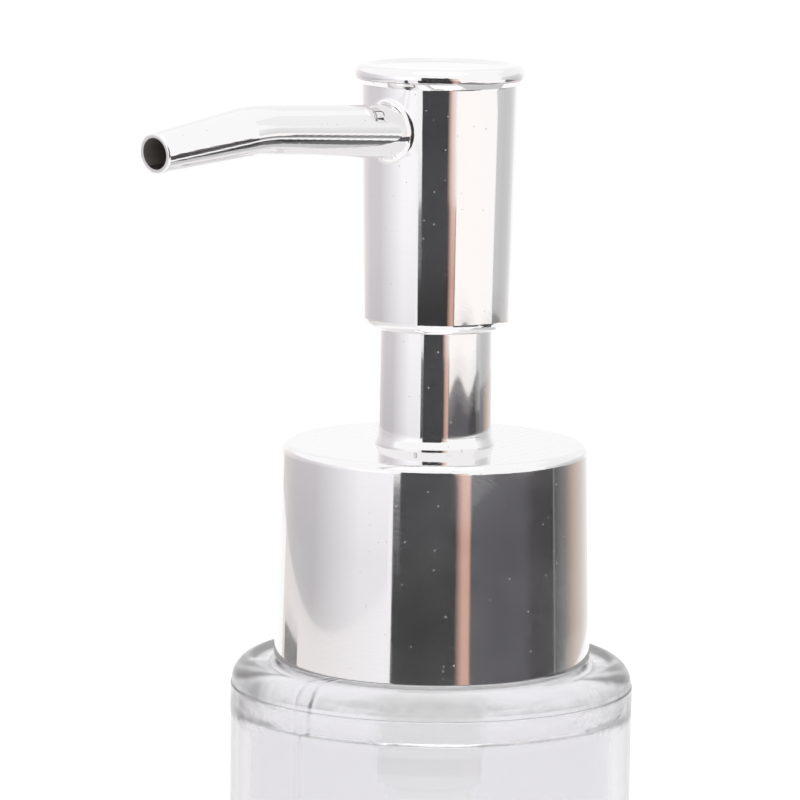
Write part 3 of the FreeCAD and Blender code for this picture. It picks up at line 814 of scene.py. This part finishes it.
# %% Dark boards
BOARD_R = 0.22
BOARD_TOP = 0.12
BOARD_WAVE = 0.004
card("dark_board", (BOARD_R, 0.062), (BOARD_R, BOARD_TOP), [
    (26, SLATE), (65, SLATE), (76, NEAR_BLACK), (86.5, NEAR_BLACK)], wave=BOARD_WAVE)
card("dark_board_end", (BOARD_R, 0.1075), (BOARD_R, BOARD_TOP), [(86.5, 0.16), (100, 0.47)],
     wave=BOARD_WAVE)
card("near_board", (0.10, 0.094), (0.10, 0.133), [
    (80, 0.068), (89, 0.068), (90, 0.26), (91.5, 0.12), (101.5, 0.22)])
lying("warm_ground_right", 0.66, 1.8, [(28, (1.18, 1.13, 1.09)), (94, (1.15, 1.12, 1.1))])

# %% [markdown]
# ## Behind on the right
# A brown edge near the ground with pale grey above it closes the right side of each mirror.

# %% Brown edge, pale edge and grey ground
card("brown_edge", (0.62, 0.0), (0.62, 0.066), [
    (100, 0.3), (105, 0.2), (111, 0.2), (125, BROWN), (160, 0.95)])
card("pale_edge", (0.62, 0.066), (0.62, 0.32), [(90, 0.8), (112, 0.66), (130, 0.71), (150, 0.95)],
     levels=[(0.066, 0.93), (0.20, 1.05), (0.32, 1.3)])
lying("near_ground_right", 0.04, 0.235, [(70, 0.655), (150, 0.655)])
lying("grey_ground_right", 0.48, 0.60, [(82, 0.9), (90, 0.62), (104, 0.62), (112, 0.9)])

# %% [markdown]
# ## What the bottle shows
# The clear wall bends what stands far round the sides into view, as upright lines near the
# bottle's two edges. These two cards are seen only through it. The backdrops are for the chrome.

# %% Side cards and backdrops
card("side_left", (0.7, 0.0), (0.7, 0.4), [(-152, 0.5), (-146, 0.12), (-136, 0.12)], through=True)
card("side_right", (0.7, 0.0), (0.7, 0.4), [(136, 0.6), (152, 0.75)], through=True)
card("backdrop_right", (1.25, 0.0), (1.25, 1.2), [(96, 1.02), (180, 1.04)])
card("backdrop_left", (1.25, 0.0), (1.25, 1.2), [(-180, 1.05), (-150, 1.05)])

# %% [markdown]
# ## Floor and light
# A plain white floor and an even white sky stand for the tent, with one large soft lamp above
# that gives the dull plastics a little shape.

# %% Floor, sky and lamp
FLOOR_R = 9
LAMP_POWER = 3.0
SKY_STRENGTH = 1.12
nothing_selected()
bpy.ops.mesh.primitive_circle_add(vertices=96, radius=FLOOR_R, fill_type="NGON")
floor = bpy.context.object
floor.name = "floor"
paper = Finish("white_paper", Roughness=0.7)
paper.shader.inputs["Specular IOR Level"].default_value = 0.1
paper.set("Base Color", paper.mix(paper.noise(3.0, 2.0), (0.925, 0.925, 0.925), (0.935, 0.935, 0.933)))
floor.data.materials.append(paper.done())

bpy.ops.object.light_add(type="AREA", location=(0.25, -0.25, 1.6))
lamp = bpy.context.object
lamp.name = "soft_lamp"
lamp.data.shape = "DISK"
lamp.data.size = 1.2
lamp.data.energy = LAMP_POWER
lamp.visible_camera = False

sky = bpy.data.worlds.new("white_tent")
bpy.context.scene.world = sky
sky.use_nodes = True
sky.node_tree.nodes["Background"].inputs["Color"].default_value = (1, 1, 1, 1)
sky.node_tree.nodes["Background"].inputs["Strength"].default_value = SKY_STRENGTH
bpy.context.scene.view_settings.view_transform = "Standard"
print("sky and lamp set")
